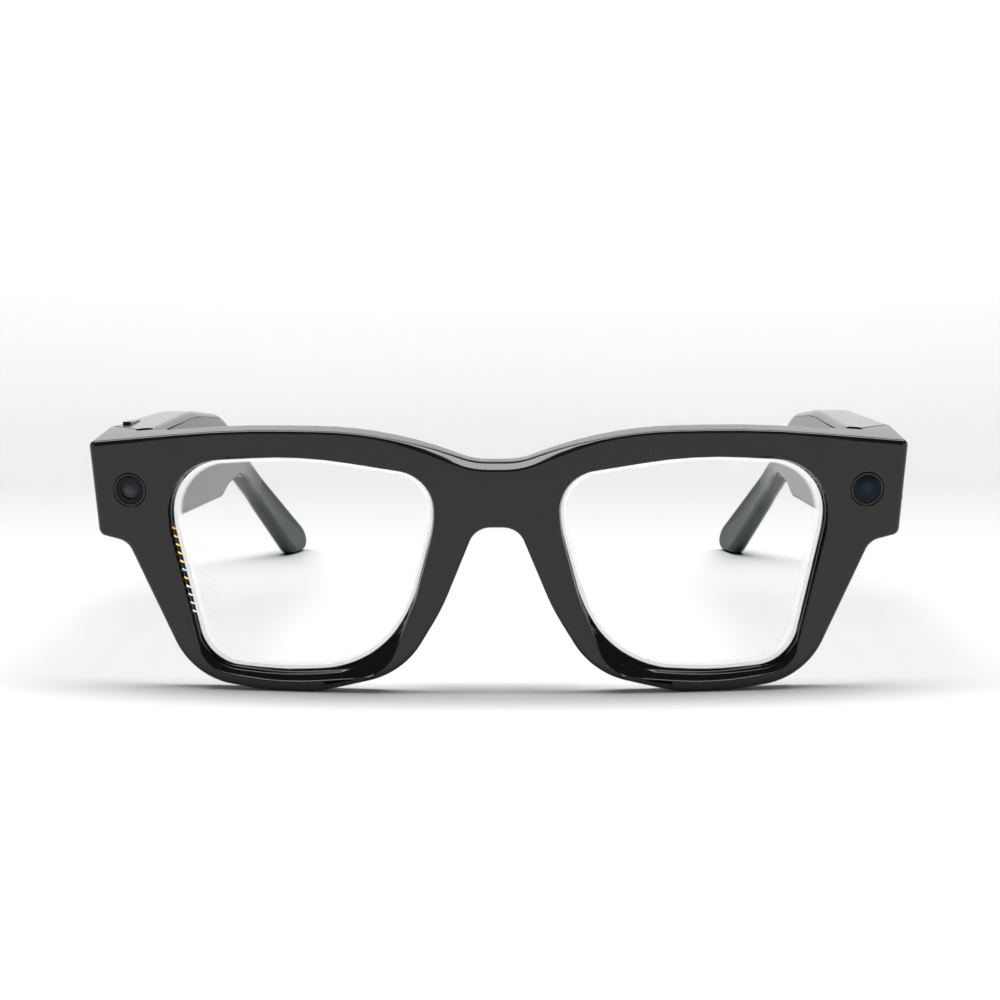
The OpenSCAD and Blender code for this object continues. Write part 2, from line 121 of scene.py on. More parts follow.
# The lens's ground edge: its width, and how much wider it is at the foot, outside and inside
GROUND, GROUND_FOOT, GROUND_OUT, GROUND_IN = 0.75, 0.9, 1.1, 0.5
GROUND_STEPS, GROUND_DEPTH, GROUND_T = 8, 0.32, 0.03
# The reflectors' glints: how many, the highest, their spacing, size and tilt
GLINTS, GLINT_TOP, GLINT_PITCH = 11, 30.6, 1.58
GLINT_HALF, GLINT_T, GLINT_TILT = (0.78, 0.15), 0.05, math.radians(22)
GLINT_IN, GLINT_FRONT = 0.35, 1.25

# Temples: where the tip and the crown start, and how they are rounded
TIP_Y, TIP_RUN, TIP_OUTER_R, TIP_INNER_R = 118, 14, 2.1, 1.5
CROWN_Y, CROWN_RUN, CROWN_R, CROWN_MORE = 24, 24, 1.1, 1.7
# Added to a place's depth when it is counted from the inner face
FAR = 100
COVER_T = 1.1

# Room round the parts that the shells hold
GAP, CONTACT_GAP, COVER_GAP, BUTTON_GAP = 0.04, 0.05, 0.005, 0.13

LIGHT_Y, LIGHT_Z = 0.06, 0.6
LIGHT_SIZE, LIGHT_POWER = (1.1, 0.27), 9.0
ROOM = 0.12
COVE_Y, COVE_R, COVE_Z = 0.30, 0.24, 0.30
COVE_STEPS = 16
TABLE_HALF = 2.5
# The camera: across, in front of the bridge and up, in metres; and its turns
CAMERA_X, CAMERA_FRONT, CAMERA_Z = 0.01221, 0.50243, 0.11661
YAW, PITCH, ROLL = math.radians(-1.316), math.radians(8.985), math.radians(-0.276)
FOCAL, SENSOR = 100, 36


# ---- Outlines ----
def rounded(corners, facet=4, least=1):
    """The points of a closed outline whose corners are arcs."""
    points = []
    for i, (x, z, radius) in enumerate(corners):
        here, before, after = Vector((x, z)), corners[i - 1], corners[(i + 1) % len(corners)]
        into = (here - Vector(before[:2])).normalized()
        out = (Vector(after[:2]) - here).normalized()
        turn = math.atan2(into.cross(out), into.dot(out))
        side = math.copysign(1, turn)
        middle = here - into * radius * math.tan(abs(turn) / 2)
        middle += Vector((-into.y, into.x)) * side * radius
        start = math.atan2(into.y, into.x) - side * math.pi / 2
        steps = max(least, math.ceil(math.degrees(abs(turn)) / facet))
        for k in range(steps + 1):
            angle = start + turn * k / steps
            points.append(middle + Vector((math.cos(angle), math.sin(angle))) * radius)
    return points


def mirrored(corners):
    return [(-x, z, radius) for x, z, radius in reversed(corners)]


def outward(points):
    """The outward direction at each point of an outline that runs clockwise."""
    found = []
    for i, point in enumerate(points):
        run = points[(i + 1) % len(points)] - points[i - 1]
        if run.length < 1e-9:
            run = points[(i + 2) % len(points)] - points[i - 2]
        found.append(Vector((-run.y, run.x)).normalized())
    return found


def along(table, at):
    """A smooth curve through a table of pairs."""
    i = max(k for k in range(len(table) - 1) if k == 0 or table[k][0] <= at)
    (a, fa), (b, fb) = table[i], table[i + 1]

    def slope(k):
        low, high = max(k - 1, 0), min(k + 1, len(table) - 1)
        return (table[high][1] - table[low][1]) / (table[high][0] - table[low][0])

    t, run = (at - a) / (b - a), b - a
    if t > 1 or t < 0:
        return fa + (fb - fa) * t
    start = (2 * t**3 - 3 * t**2 + 1) * fa + (t**3 - 2 * t**2 + t) * run * slope(i)
    return start + (3 * t**2 - 2 * t**3) * fb + (t**3 - t**2) * run * slope(i + 1)


def clamp(value, low=0.0, high=1.0):
    return min(max(value, low), high)


def quarter(steps):
    """How far each step of a rounded edge lies from its two faces, as shares of the radius."""
    angles = [math.pi / 2 * k / steps for k in range(steps + 1)]
    return [(1 - math.sin(angle), 1 - math.cos(angle)) for angle in angles]


# ---- Places ----
def in_row(x, y, z):
    return Vector((x * MM, y * MM + BRIDGE_Y, z * MM))


def wrap(x, depth):
    """How far back the wrap carries a point."""
    return WRAP_R - math.sqrt((WRAP_R - depth) ** 2 - x * x)


def on_front(x, depth, z):
    """A point at a depth behind the wrapped, leaned face."""
    y = wrap(x, depth)
    lean_y = y * math.cos(LEAN) - z * math.sin(LEAN) + FACE_Y
    return in_row(x, lean_y, y * math.sin(LEAN) + z * math.cos(LEAN) + LIFT)


def face_turn(x, z, side):
    """The frame of a spot on the face, with z out of it."""
    spin = Matrix.Rotation(math.asin(side * x / WRAP_R), 4, "Z")
    spin = spin @ Matrix.Rotation(math.pi / 2, 4, "X")
    return Matrix.Translation(on_front(side * x, 0, z)) @ Matrix.Rotation(LEAN, 4, "X") @ spin


def window_centre(side):
    return tuple(on_front(side * EYE_X, 0, EYE_Z))


# ---- Meshes ----
def ring(mesh, points):
    corners = [mesh.verts.new(point) for point in points]
    return [mesh.edges.new(pair) for pair in zip(corners, corners[1:] + corners[:1])]


def loft(mesh, rings):
    """Walls through a row of rings; returns the first and the last ring's edges."""
    loops = [ring(mesh, points) for points in rings]
    for near, far in zip(loops, loops[1:]):
        bmesh.ops.bridge_loops(mesh, edges=near + far)
    return loops[0], loops[-1]


def of_kind(result, kind):
    return [item for item in result["geom"] if isinstance(item, kind)]


def cap(mesh, edges, normal, along_axis, spacing, reach):
    """Fills a flat outline, holes left open, and slices it so that it can bend."""
    filled = bmesh.ops.triangle_fill(mesh, use_beauty=True, edges=edges, normal=normal)
    faces = of_kind(filled, bmesh.types.BMFace)
    way = Vector((0, 0, 0))
    way[along_axis] = 1
    for k in range(int((reach[1] - reach[0]) / spacing) + 1):
        around = set(faces) | {e for f in faces for e in f.edges} | {v for f in faces for v in f.verts}
        spot = way * (reach[0] + spacing * k)
        cut = bmesh.ops.bisect_plane(mesh, geom=list(around), dist=1e-5, plane_co=spot, plane_no=way)
        faces = of_kind(cut, bmesh.types.BMFace)


def placed(mesh, place):
    for vert in mesh.verts:
        vert.co = place(*vert.co)
    bmesh.ops.recalc_face_normals(mesh, faces=mesh.faces)
    return mesh


def blank(mesh, name="blank"):
    data = bpy.data.meshes.new(name)
    mesh.to_mesh(data)
    mesh.free()
    made = bpy.data.objects.new(name, data)
    bpy.context.scene.collection.objects.link(made)
    return made


def cut_away(mesh, tools):
    """A mesh less some others."""
    body = blank(mesh)
    cutters = [blank(tool, "cutter") for tool in tools]
    for cutter in cutters:
        modifier = body.modifiers.new("cut", "BOOLEAN")
        modifier.operation, modifier.solver, modifier.object = "DIFFERENCE", "EXACT", cutter
    left = bmesh.new()
    left.from_object(body, bpy.context.evaluated_depsgraph_get())
    for used in [body, *cutters]:
        data = used.data
        bpy.data.objects.remove(used)
        bpy.data.meshes.remove(data)
    return left


def soften(mesh, width, angle=35, where=lambda middle: True):
    """Rounds the sharp edges that a cut leaves."""
    bmesh.ops.remove_doubles(mesh, verts=mesh.verts, dist=0.012 * MM)
    bmesh.ops.dissolve_degenerate(mesh, edges=mesh.edges, dist=0.01 * MM)
    limit = math.radians(angle)
    sharp = [
        edge for edge in mesh.edges
        if len(edge.link_faces) == 2 and edge.calc_face_angle(0) > limit
        and where((edge.verts[0].co + edge.verts[1].co) / 2)
    ]
    bmesh.ops.bevel(
        mesh, geom=sharp, affect="EDGES", offset=width * MM, offset_type="OFFSET", segments=2,
        profile=0.5, material=-1, clamp_overlap=False, loop_slide=True,
    )
    return mesh


def pocket(name, gap):
    """Room for a part: its own shape, grown by a gap all round."""
    mesh = bmesh.new()
    mesh.from_mesh(nodes[name].data)
    bmesh.ops.remove_doubles(mesh, verts=mesh.verts, dist=1e-7)
    mesh.normal_update()
    moves = [(vert, vert.normal * vert.calc_shell_factor() * gap * MM) for vert in mesh.verts]
    for vert, move in moves:
        vert.co += move
    return mesh


def pushed(mesh, face, move):
    """Extrudes a face; returns the corners of its far end."""
    grown = bmesh.ops.extrude_face_region(mesh, geom=[face])
    risen = of_kind(grown, bmesh.types.BMVert)
    bmesh.ops.translate(mesh, vec=move, verts=risen)
    return risen


def prism(points, low, high):
    """A plan outline, extruded upwards."""
    mesh = bmesh.new()
    face = mesh.faces.new([mesh.verts.new(in_row(x, y, low)) for x, y in points])
    pushed(mesh, face, (0, 0, (high - low) * MM))
    bmesh.ops.recalc_face_normals(mesh, faces=mesh.faces)
    return mesh


def smooth(made, angle=30):
    """Shades a piece smoothly, apart from its sharp edges."""
    made.data.shade_smooth()
    made.data.set_sharp_from_angle(angle=math.radians(angle))
    weigh = made.modifiers.new("weigh", "WEIGHTED_NORMAL")
    weigh.keep_sharp, weigh.weight, weigh.mode = True, 100, "FACE_AREA"


def piece(name, mesh, body, material, replaces=()):
    made = blank(mesh, name)
    made.data.materials.append(material)
    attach(made, body)
    if replaces:
        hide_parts(*replaces)
    return made


# ---- Shader maths ----
class Level:
    """A shader socket that takes part in Python arithmetic."""

    def __init__(self, finish, socket):
        self.finish, self.socket = finish, socket

    def __add__(self, other):
        return self.finish.maths("ADD", self, other)

    def __sub__(self, other):
        return self.finish.maths("SUBTRACT", self, other)

    def __rsub__(self, other):
        return self.finish.maths("SUBTRACT", other, self)

    def __mul__(self, other):
        return self.finish.maths("MULTIPLY", self, other)

    def __lt__(self, other):
        return self.finish.maths("LESS_THAN", self, other)

    def __gt__(self, other):
        return self.finish.maths("GREATER_THAN", self, other)

    __radd__, __rmul__ = __add__, __mul__


class Finish:
    """A material under construction."""

    def __init__(self, name):
        self.material = bpy.data.materials.new(name)
        self.material.use_nodes = True
        self.tree = self.material.node_tree
        self.tree.nodes.clear()
        self.output = self.tree.nodes.new("ShaderNodeOutputMaterial")

    def maths(self, operation, first, second=0.0):
        return self.node("ShaderNodeMath", {"operation": operation}, {0: first, 1: second})

    def node(self, kind, settings=None, values=None, out=0):
        made = self.tree.nodes.new(kind)
        for key, value in (settings or {}).items():
            if key == "stops":
                ramp = made.color_ramp
                for place, _ in value[2:]:
                    ramp.elements.new(place)
                for element, (place, shade) in zip(ramp.elements, sorted(value)):
                    element.position, element.color = place, shade
            else:
                setattr(made, key, value)
        for key, value in (values or {}).items():
            socket = made.inputs[key]
            if isinstance(value, Level):
                self.tree.links.new(value.socket, socket)
            else:
                socket.default_value = value
        return Level(self, made.outputs[out])

    def spot(self):
        """The place on the object, in metres."""
        return self.node("ShaderNodeTexCoord", out="Object")

    def part(self, axis):
        """One coordinate of the place on the object."""
        return self.node("ShaderNodeSeparateXYZ", {}, {0: self.spot()}, out=axis)

    def noise(self, scale, detail=3.0, rough=0.5, stretch=None):
        place = self.spot()
        if stretch:
            place = self.node("ShaderNodeMapping", {}, {"Vector": place, "Scale": stretch})
        values = {"Vector": place, "Scale": scale, "Detail": detail, "Roughness": rough}
        return self.node("ShaderNodeTexNoise", {}, values)

    def mix(self, mask, first, second):
        return self.node("ShaderNodeMix", {"data_type": "RGBA"}, {0: mask, 6: first, 7: second}, out=2)

    def specks(self, scale, size):
        """1 on sparse small dots, 0 elsewhere."""
        values = {"Vector": self.spot(), "Scale": scale}
        return self.node("ShaderNodeTexVoronoi", {}, values, out="Distance") < size

    def bump(self, height, strength, distance):
        values = {"Height": height, "Strength": strength, "Distance": distance * MM}
        return self.node("ShaderNodeBump", {}, values)

    def principled(self, solid=None, **values):
        named = {}
        for key, value in values.items():
            named[key.replace("_", " ").title().replace("Ior", "IOR")] = value
        return self.done(self.node("ShaderNodeBsdfPrincipled", {}, named), solid)

    def done(self, shader, solid=None):
        if solid:
            clear = self.node("ShaderNodeBsdfTransparent", {}, {"Color": grey(1)})
            shader = self.node("ShaderNodeMixShader", {}, {0: solid, 1: clear, 2: shader})
        self.tree.links.new(shader.socket, self.output.inputs["Surface"])
        return self.material


def grey(value):
    return (value, value, value, 1.0)


# ---- Finishes ----
def acetate(name, shade, gloss=0.07, wear=0.05):
    """Polished cellulose acetate: deep black, faint buffing marks and a few dust specks."""
    made = Finish(name)
    buffing = made.noise(900, 4, 0.6, (1, 1, 0.12))
    haze = made.noise(60, 2)
    dust = made.specks(230, 0.016)
    base = made.mix(dust, shade, grey(0.16))
    waves = made.noise(45, 2)
    return made.principled(
        base_color=base,
        roughness=gloss + buffing * wear + haze * 0.02 + dust * 0.4,
        normal=made.bump(waves + buffing * 0.02, 0.12, 0.05),
        ior=1.45,
    )


def satin(name, shade, rough=0.42, grain=0.25):
    """Moulded polymer with a fine spark-eroded texture."""
    made = Finish(name)
    texture = made.noise(5200, 2)
    cloud = made.noise(120, 3)
    lighter = tuple(min(1, 1.7 * part + 0.01) for part in shade[:3]) + (1,)
    return made.principled(
        base_color=made.mix(cloud * 0.5, shade, lighter),
        roughness=rough + texture * 0.2 - cloud * 0.06,
        normal=made.bump(texture, grain, 0.04),
    )


def metal(name, shade, rough, grain=(0.04, 1, 1), depth=0.1):
    """Drawn, rolled or turned metal, with its grain along one axis."""
    made = Finish(name)
    lines = made.noise(2600, 3, 0.6, grain)
    stain = made.noise(150, 3)
    darker = tuple(part * 0.72 for part in shade[:3]) + (1,)
    return made.principled(
        base_color=made.mix(stain, shade, darker),
        roughness=rough + lines * 0.16 + stain * 0.08,
        normal=made.bump(lines, depth, 0.02),
        metallic=1.0,
    )


def coated_glass(name, through=0.997, mirror_ior=1.17, tint=(0.55, 1.0, 0.72, 1)):
    """A clear lens with a green anti-reflective coat and the odd wipe mark."""
    made = Finish(name)
    smear = made.noise(70, 3)
    dust = made.specks(160, 0.012)
    clear = made.node("ShaderNodeBsdfTransparent", {}, {"Color": grey(through)})
    shine = made.node("ShaderNodeBsdfGlossy", {}, {"Color": tint, "Roughness": 0.015 + smear * 0.03})
    share = made.node("ShaderNodeFresnel", {}, {"IOR": mirror_ior})
    white = made.node("ShaderNodeBsdfDiffuse", {}, {"Color": grey(0.7)})
    glass = made.node("ShaderNodeMixShader", {}, {0: share, 1: clear, 2: shine})
    return made.done(made.node("ShaderNodeMixShader", {}, {0: dust * 0.5, 1: glass, 2: white}))


def lens_edge_painted_glow(name):
    """The lens's ground rim: bright white with a painted glow on top, and fine lines that run along it."""
    made = Finish(name)
    across = made.node("ShaderNodeAttribute", {"attribute_name": "across"}, out="Fac")
    wander = made.noise(160, 3)
    level = across + wander * 0.10 - 0.05
    stops = (
        (0.0, grey(0.04)), (1.0, grey(0.80)), (0.05, grey(0.60)), (0.16, grey(0.82)),
        (0.27, grey(0.80)), (0.31, grey(0.40)), (0.36, grey(0.82)), (0.85, grey(0.90)),
    )
    tone = made.node("ShaderNodeValToRGB", {"stops": stops}, {"Fac": level})
    streak = made.noise(700, 2, 0.5, (1, 1, 0.3))
    base = made.mix(streak * 0.16, tone, (0.70, 0.70, 0.74, 1))
    # The emission is a painted glow: the lens edge gives no light of its own.
    return made.principled(
        solid=made.node("ShaderNodeClamp", {}, {0: 1.25 - across * 1.3}),
        base_color=base, roughness=0.12 + streak * 0.2, emission_color=base, emission_strength=0.52,
        normal=made.bump(streak, 0.3, 0.03),
    )


def mirror_film(name):
    """The guide's slanted reflectors: nearly clear, but for a faint grey cast."""
    made = Finish(name)
    clear = made.node("ShaderNodeBsdfTransparent", {}, {"Color": grey(0.99)})
    shine = made.node("ShaderNodeBsdfGlossy", {}, {"Color": (0.8, 0.82, 0.95, 1), "Roughness": 0.1})
    share = made.noise(300, 2) * 0.05
    return made.done(made.node("ShaderNodeMixShader", {}, {0: share, 1: clear, 2: shine}))


def glint(name):
    """Light that the reflectors send out of the guide's edge, from amber down to pale blue."""
    made = Finish(name)
    share = (made.part("Z") - 0.0142) * (1 / 0.0165)
    stops = (
        (0.0, (0.75, 0.72, 0.95, 1)), (1.0, (0.80, 0.36, 0.05, 1)), (0.16, (0.9, 0.72, 0.70, 1)),
        (0.33, (0.95, 0.90, 0.78, 1)), (0.42, (0.95, 0.62, 0.12, 1)), (0.52, (0.45, 0.75, 0.85, 1)),
        (0.62, (0.95, 0.78, 0.12, 1)), (0.85, (0.95, 0.62, 0.08, 1)),
    )
    tone = made.node("ShaderNodeValToRGB", {"stops": stops}, {"Fac": share})
    grain = made.noise(2500, 2)
    return made.principled(
        base_color=tone, roughness=0.3 + grain * 0.1, emission_color=tone, emission_strength=0.9
    )


def dark_window(name, shade, centre, glow, radius):
    """Coated dark glass over a sensor, lighter in its middle."""
    made = Finish(name)
    offset = made.node("ShaderNodeVectorMath", {"operation": "SUBTRACT"}, {0: made.spot(), 1: centre})
    far = made.node("ShaderNodeVectorMath", {"operation": "LENGTH"}, {0: offset}, out="Value")
    near = 1 - far * (1 / (radius * MM))
    clipped = made.node("ShaderNodeClamp", {}, {0: near})
    dust = made.specks(700, 0.03)
    toned = made.mix(clipped, shade, glow)
    return made.principled(
        base_color=made.mix(dust, toned, grey(0.3)), roughness=0.06 + made.noise(400, 2) * 0.05,
        ior=1.18,
    )


def circuit_board(name):
    """Green solder mask with tracks and pads showing through."""
    made = Finish(name)
    tracks = made.node(
        "ShaderNodeTexBrick", {"offset": 0.37, "squash": 1.6},
        {
            "Vector": made.spot(), "Scale": 900.0, "Mortar Size": 0.012, "Color1": (0.012, 0.10, 0.045, 1),
            "Color2": (0.010, 0.085, 0.04, 1), "Mortar": (0.03, 0.19, 0.08, 1),
        },
    )
    pads = made.specks(1400, 0.16)
    return made.principled(
        base_color=made.mix(pads, tracks, (0.72, 0.55, 0.25, 1)), roughness=0.32 + pads * 0.1,
        metallic=pads * 0.9, normal=made.bump(pads, 0.4, 0.03),
    )


def film(name, shade, line):
    """Polyimide film with copper lines."""
    made = Finish(name)
    values = {"Vector": made.spot(), "Scale": 260.0, "Distortion": 0.4}
    lines = made.node("ShaderNodeTexWave", {"bands_direction": "Z"}, values) > 0.72
    return made.principled(
        base_color=made.mix(lines, shade, line), roughness=0.34 + made.noise(500) * 0.1
    )


def foil(name):
    """A pouch cell's laminate, with soft crinkles."""
    made = Finish(name)
    crinkle = made.noise(420, 5, 0.6)
    return made.principled(
        base_color=made.mix(crinkle, grey(0.62), grey(0.45)), metallic=0.85,
        roughness=0.28 + crinkle * 0.2, normal=made.bump(crinkle, 0.5, 0.1),
    )


def frosted(name):
    """A milky light pipe."""
    made = Finish(name)
    cloud = made.noise(1500, 3)
    base = made.mix(cloud, (0.8, 0.85, 0.78, 1), (0.6, 0.66, 0.6, 1))
    return made.principled(base_color=base, roughness=0.4 + cloud * 0.2)


def table_top(name):
    """White paper, lit by its own glow where the softbox falls off."""
    made = Finish(name)
    paper = made.noise(6, 4)
    across = made.part("X")
    back = made.part("Y") - (BRIDGE_Y + LIGHT_Y)
    far = LIGHT_Z**2 + across * across * 0.5 + back * back
    fall = made.maths("DIVIDE", LIGHT_Z**2, far)
    rise = made.maths("MINIMUM", made.part("Z"), 0.07)
    dip = made.node("ShaderNodeClamp", {}, {0: back * 5})
    base = made.mix(paper, grey(0.66), grey(0.64))
    return made.principled(
        base_color=base, roughness=0.8 + paper * 0.1, emission_color=grey(1),
        emission_strength=0.76 - fall * fall * 0.76 - dip * 0.35 + rise * 2.2,
    )


# ---- The front ----
def front_rings():
    """Rounded at the sides, tighter along the brow, and chamfered over the bridge."""
    points = rounded(OUTLINE + mirrored(OUTLINE), 3, 3)
    ways = outward(points)
    rings = []
    for k, (inset, depth) in enumerate([(1, 0), *quarter(EDGE_STEPS)]):
        share = max(k - 1, 0) / EDGE_STEPS
        moved = []
        for point, way in zip(points, ways):
            top = clamp((way.y - 0.25) / 0.5)
            flat = top * math.exp(-((point.x / 15) ** 4))
            step = EDGE_R + (TOP_R + (CHAMFER - TOP_R) * flat - EDGE_R) * top
            back = (inset + (1 - share - inset) * flat) * step + (0 if k else SUPPORT)
            edge = point - way * back
            deep = (depth + (share * CHAMFER_DEPTH - depth) * flat) * step
            moved.append(Vector((edge.x, deep, edge.y)))
        rings.append(moved)
    for depth in range(3, FRONT_DEPTH + 1, 3):
        rings.append([Vector((p.x, depth, p.y)) for p in points])
    return rings


def opening_rings(side):
    """From the face's edge in to the lens seat, then straight back."""
    face, lens = rounded(OPENING_FACE, 4, 3), rounded(OPENING_LENS, 4, 3)
    ways = outward(face)
    rings = [[Vector((*(p + way * (LIP_R + SUPPORT)), 0)) for p, way in zip(face, ways)]]
    for inset, depth in quarter(3):
        lip = [p + way * inset * LIP_R for p, way in zip(face, ways)]
        rings.append([Vector((*p, depth * LIP_R)) for p in lip])
    for k in range(1, BEVEL_STEPS + 1):
        run = along(BEVEL, k / BEVEL_STEPS)
        depth = LIP_R + (SEAT_DEPTH - LIP_R) * k / BEVEL_STEPS
        rings.append([Vector((*(p + (q - p) * run), depth)) for p, q in zip(face, lens)])
    for depth in (4, 8, FRONT_DEPTH):
        rings.append([Vector((*q, depth)) for q in lens])
    return [[Vector((side * p.x, p.z, p.y)) for p in points] for points in rings]


def deep_taper(x, depth, z):
    """Where the end pieces narrow towards the temples."""
    share = clamp((abs(x) - END_X) / END_RUN) * clamp((z - END_Z) / END_RISE)
    return math.copysign(abs(x) - TAPER * max(wrap(x, depth) - TAPER_FROM, 0) * share, x)


def front_place(x, depth, z):
    return on_front(deep_taper(x, depth, z), depth, z)


def behind_rims():
    """The space behind the rims, up to the end pieces."""
    half, steps, rear, low, tall = 62, 40, 60, -12, 90
    xs = [half * k / steps for k in range(-steps, steps + 1)]
    plan = [(x, wrap(x, RIM_T)) for x in xs] + [(half, rear), (-half, rear)]
    mesh = bmesh.new()
    face = mesh.faces.new([mesh.verts.new((x, y, low)) for x, y in plan])
    pushed(mesh, face, (0, 0, tall))
    tilt = Matrix.Rotation(LEAN - BACK_LEAN, 4, "X")
    for vert in mesh.verts:
        vert.co = in_row(*(tilt @ vert.co + Vector((0, FACE_Y, LIFT))))
    bmesh.ops.recalc_face_normals(mesh, faces=mesh.faces)
    return mesh


def hinge_room(side):
    """The space for the hinge, bounded by the seam with the temple."""
    beyond = SEAM_OUT + 9 * (SEAM_OUT - SEAM_IN).normalized()
    plan = [
        (30, 90), (30, 13.6), (63.6, 13.6), (64.6, 14.8), (68, 15.6), tuple(SEAM_IN),
        tuple(SEAM_OUT), tuple(beyond), (90, 90),
    ]
    return prism([(side * x, y) for x, y in plan], -5, 75)


def front_piece():
    mesh = bmesh.new()
    near, far = loft(mesh, front_rings())
    holes = [loft(mesh, opening_rings(side)) for side in SIDES.values()]
    cap(mesh, near + holes[0][0] + holes[1][0], (0, 1, 0), 0, SLICE, (-75, 75))
    cap(mesh, far + holes[0][1] + holes[1][1], (0, 1, 0), 0, 150, (0, 0))
    placed(mesh, front_place)
    tools = [behind_rims(), hinge_room(RIGHT), hinge_room(LEFT), pocket("brow_cover", GAP)]
    tools += [pocket("charging_contacts", CONTACT_GAP), pocket("notification_light", GAP)]
    tools += [pocket(f"{what}_{side}", GAP) for what in ("badge", "front_leaf", "lens") for side in SIDES]
    tools += [window_well(RIGHT), window_well(LEFT)]
    left = cut_away(mesh, tools)
    face_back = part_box("front_frame")[0].y + 3.2 * MM
    soften(left, 0.28, 38, lambda middle: middle.y > face_back)
    return left


def window_well(side):
    """A round well in the face, with a broken edge."""
    mesh = bmesh.new()
    rim = [(0, -WELL_DEPTH), (0, -0.22), (0.08, -0.06), (0.22, 0.02), (0.4, 1)]
    verts = [mesh.verts.new((0, 0, -WELL_DEPTH))]
    verts += [mesh.verts.new((WELL_R + out, 0, z)) for out, z in rim]
    verts.append(mesh.verts.new((0, 0, 1)))
    edges = [mesh.edges.new(pair) for pair in zip(verts, verts[1:])]
    bmesh.ops.spin(
        mesh, geom=verts + edges, axis=(0, 0, 1), cent=(0, 0, 0), angle=math.tau, steps=72, use_merge=True
    )
    bmesh.ops.remove_doubles(mesh, verts=mesh.verts, dist=1e-5)
    bmesh.ops.scale(mesh, vec=(MM, MM, MM), verts=mesh.verts)
    bmesh.ops.transform(mesh, matrix=face_turn(EYE_X, EYE_Z, side), verts=mesh.verts)
    bmesh.ops.recalc_face_normals(mesh, faces=mesh.faces)
    return mesh


def lens_rim(side):
    """The lens's ground edge, seen inside its opening."""
    lens = rounded(OPENING_LENS, 4, 3)
    ways = outward(lens)
    mesh = bmesh.new()
    store = mesh.verts.layers.float.new("across")
    loops = []
    for k in range(GROUND_STEPS + 1):
        share = k / GROUND_STEPS
        depth = SEAT_DEPTH - GROUND_DEPTH * (1 - share) ** 1.6 + 0.02
        points = []
        for p, way in zip(lens, ways):
            width = GROUND + GROUND_FOOT * clamp(-way.y)
            width += GROUND_OUT * clamp(way.x) + GROUND_IN * clamp(-way.x)
            q = p - way * width * share
            points.append(Vector((side * q.x, depth, q.y)))
        edges = ring(mesh, points)
        for edge in edges:
            edge.verts[0][store] = share
            edge.verts[1][store] = share
        loops.append(edges)
    for near, far in zip(loops, loops[1:]):
        bmesh.ops.bridge_loops(mesh, edges=near + far)
    for vert in mesh.verts:
        vert.co = on_front(*vert.co)
    bmesh.ops.recalc_face_normals(mesh, faces=mesh.faces)
    bmesh.ops.solidify(mesh, geom=mesh.faces[:], thickness=GROUND_T * MM)
    return mesh


def guide_block():
    """The display guide as one clear block; its reflectors lie inside."""
    mesh = bmesh.new()
    mesh.from_mesh(nodes["display_waveguide"].data)
    bmesh.ops.remove_doubles(mesh, verts=mesh.verts, dist=1e-7)
    hull = bmesh.ops.convex_hull(mesh, input=mesh.verts)
    outer = set(of_kind(hull, bmesh.types.BMFace))
    bmesh.ops.delete(mesh, geom=[face for face in mesh.faces if face not in outer], context="FACES")
    bmesh.ops.delete(mesh, geom=[vert for vert in mesh.verts if not vert.link_faces], context="VERTS")
    bmesh.ops.recalc_face_normals(mesh, faces=mesh.faces)
    return mesh


def edge_glints():
    """Where the guide's reflectors light up the wall beside them."""
    whole = bmesh.new()
    wall = [p for p in rounded(OPENING_LENS, 4, 3) if p.x > 50]
    angles = [math.tau * n / 12 for n in range(12)]
    wide, high_half = GLINT_HALF
    tilt = Matrix.Rotation(GLINT_TILT, 4, "Y")
    for k in range(GLINTS):
        z = GLINT_TOP - GLINT_PITCH * k
        low = max((p for p in wall if p.y <= z), key=lambda p: p.y)
        high = min((p for p in wall if p.y > z), key=lambda p: p.y)
        x = low.x + (high.x - low.x) * (z - low.y) / (high.y - low.y)
        verts = [whole.verts.new((wide * math.cos(a), 0, high_half * math.sin(a))) for a in angles]
        raised = pushed(whole, whole.faces.new(verts), (0, GLINT_T, 0))
        for vert in verts + raised:
            p = tilt @ vert.co
            vert.co = on_front(p.x - x - GLINT_IN, SEAT_DEPTH - GLINT_FRONT + p.y, z + p.z)
    bmesh.ops.recalc_face_normals(whole, faces=whole.faces)
    return whole


# ---- The temples ----
def temple_radii(y, way):
    """How far a temple's outer and inner edges are rounded."""
    thick = along(OUTER_FACE, y) - along(INNER_FACE, y)
    tip = clamp((y - TIP_Y) / TIP_RUN)
    outer, inner = 1.3, 0.8
    if way.y > 0:
        outer = CROWN_R + CROWN_MORE * clamp((y - CROWN_Y) / CROWN_RUN)
        inner = 1.3
    outer += (TIP_OUTER_R - outer) * tip
    inner += (TIP_INNER_R - inner) * tip
    return min(outer, 0.5 * thick), min(inner, 0.38 * thick)


def temple_rings():
    points = rounded(TEMPLE_SIDE, 4, 3)
    ways = outward(points)
    radii = [temple_radii(p.x, way) for p, way in zip(points, ways)]
    edges = list(zip(points, ways, radii))
    outer, inner = [], []
    for inset, depth in quarter(6):
        for rings, which in ((outer, 0), (inner, 1)):
            moved = [(p - way * inset * size[which], depth * size[which]) for p, way, size in edges]
            rings.append([Vector((FAR - deep if which else deep, p.x, p.y)) for p, deep in moved])
    return outer + inner[::-1]


def temple_place(side):
    """From a depth below the outer face, or FAR less one below the inner, to the row."""

    def place(depth, y, z):
        if depth < FAR / 2:
            x = along(OUTER_FACE, y) - depth
        else:
            x = along(INNER_FACE, y) + FAR - depth
        return in_row(side * x, y, z)

    return place


